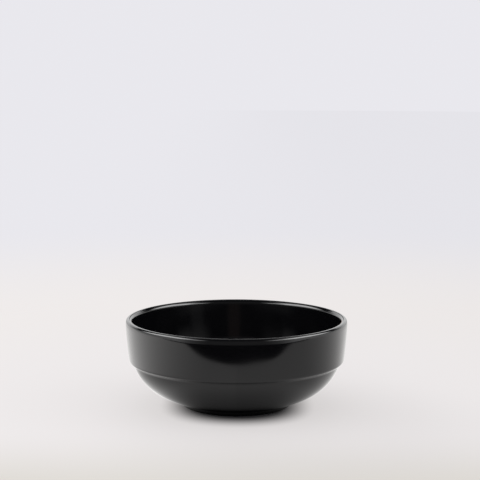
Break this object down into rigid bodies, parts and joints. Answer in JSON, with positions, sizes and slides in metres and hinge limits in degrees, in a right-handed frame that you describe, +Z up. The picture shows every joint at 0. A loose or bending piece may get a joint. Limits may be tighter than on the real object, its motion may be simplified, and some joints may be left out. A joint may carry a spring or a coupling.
{
  "type": "rice bowl",
  "caption": "Round stackable rice bowl moulded in one piece, with a rounded lip, an upright band, a stacking ledge, a rounded belly and a low foot ring.",
  "frame": {"origin": "centre of the foot ring's resting face, on the table", "axes": "+Z up along the axis the bowl is turned about, through the middle of its opening"},
  "size_m": [0.127, 0.127, 0.05],
  "materials": {
    "black_melamine": "semi-gloss moulded"
  },
  "bodies": {
    "root": {"bowl": "black_melamine"}
  },
  "joints": []
}
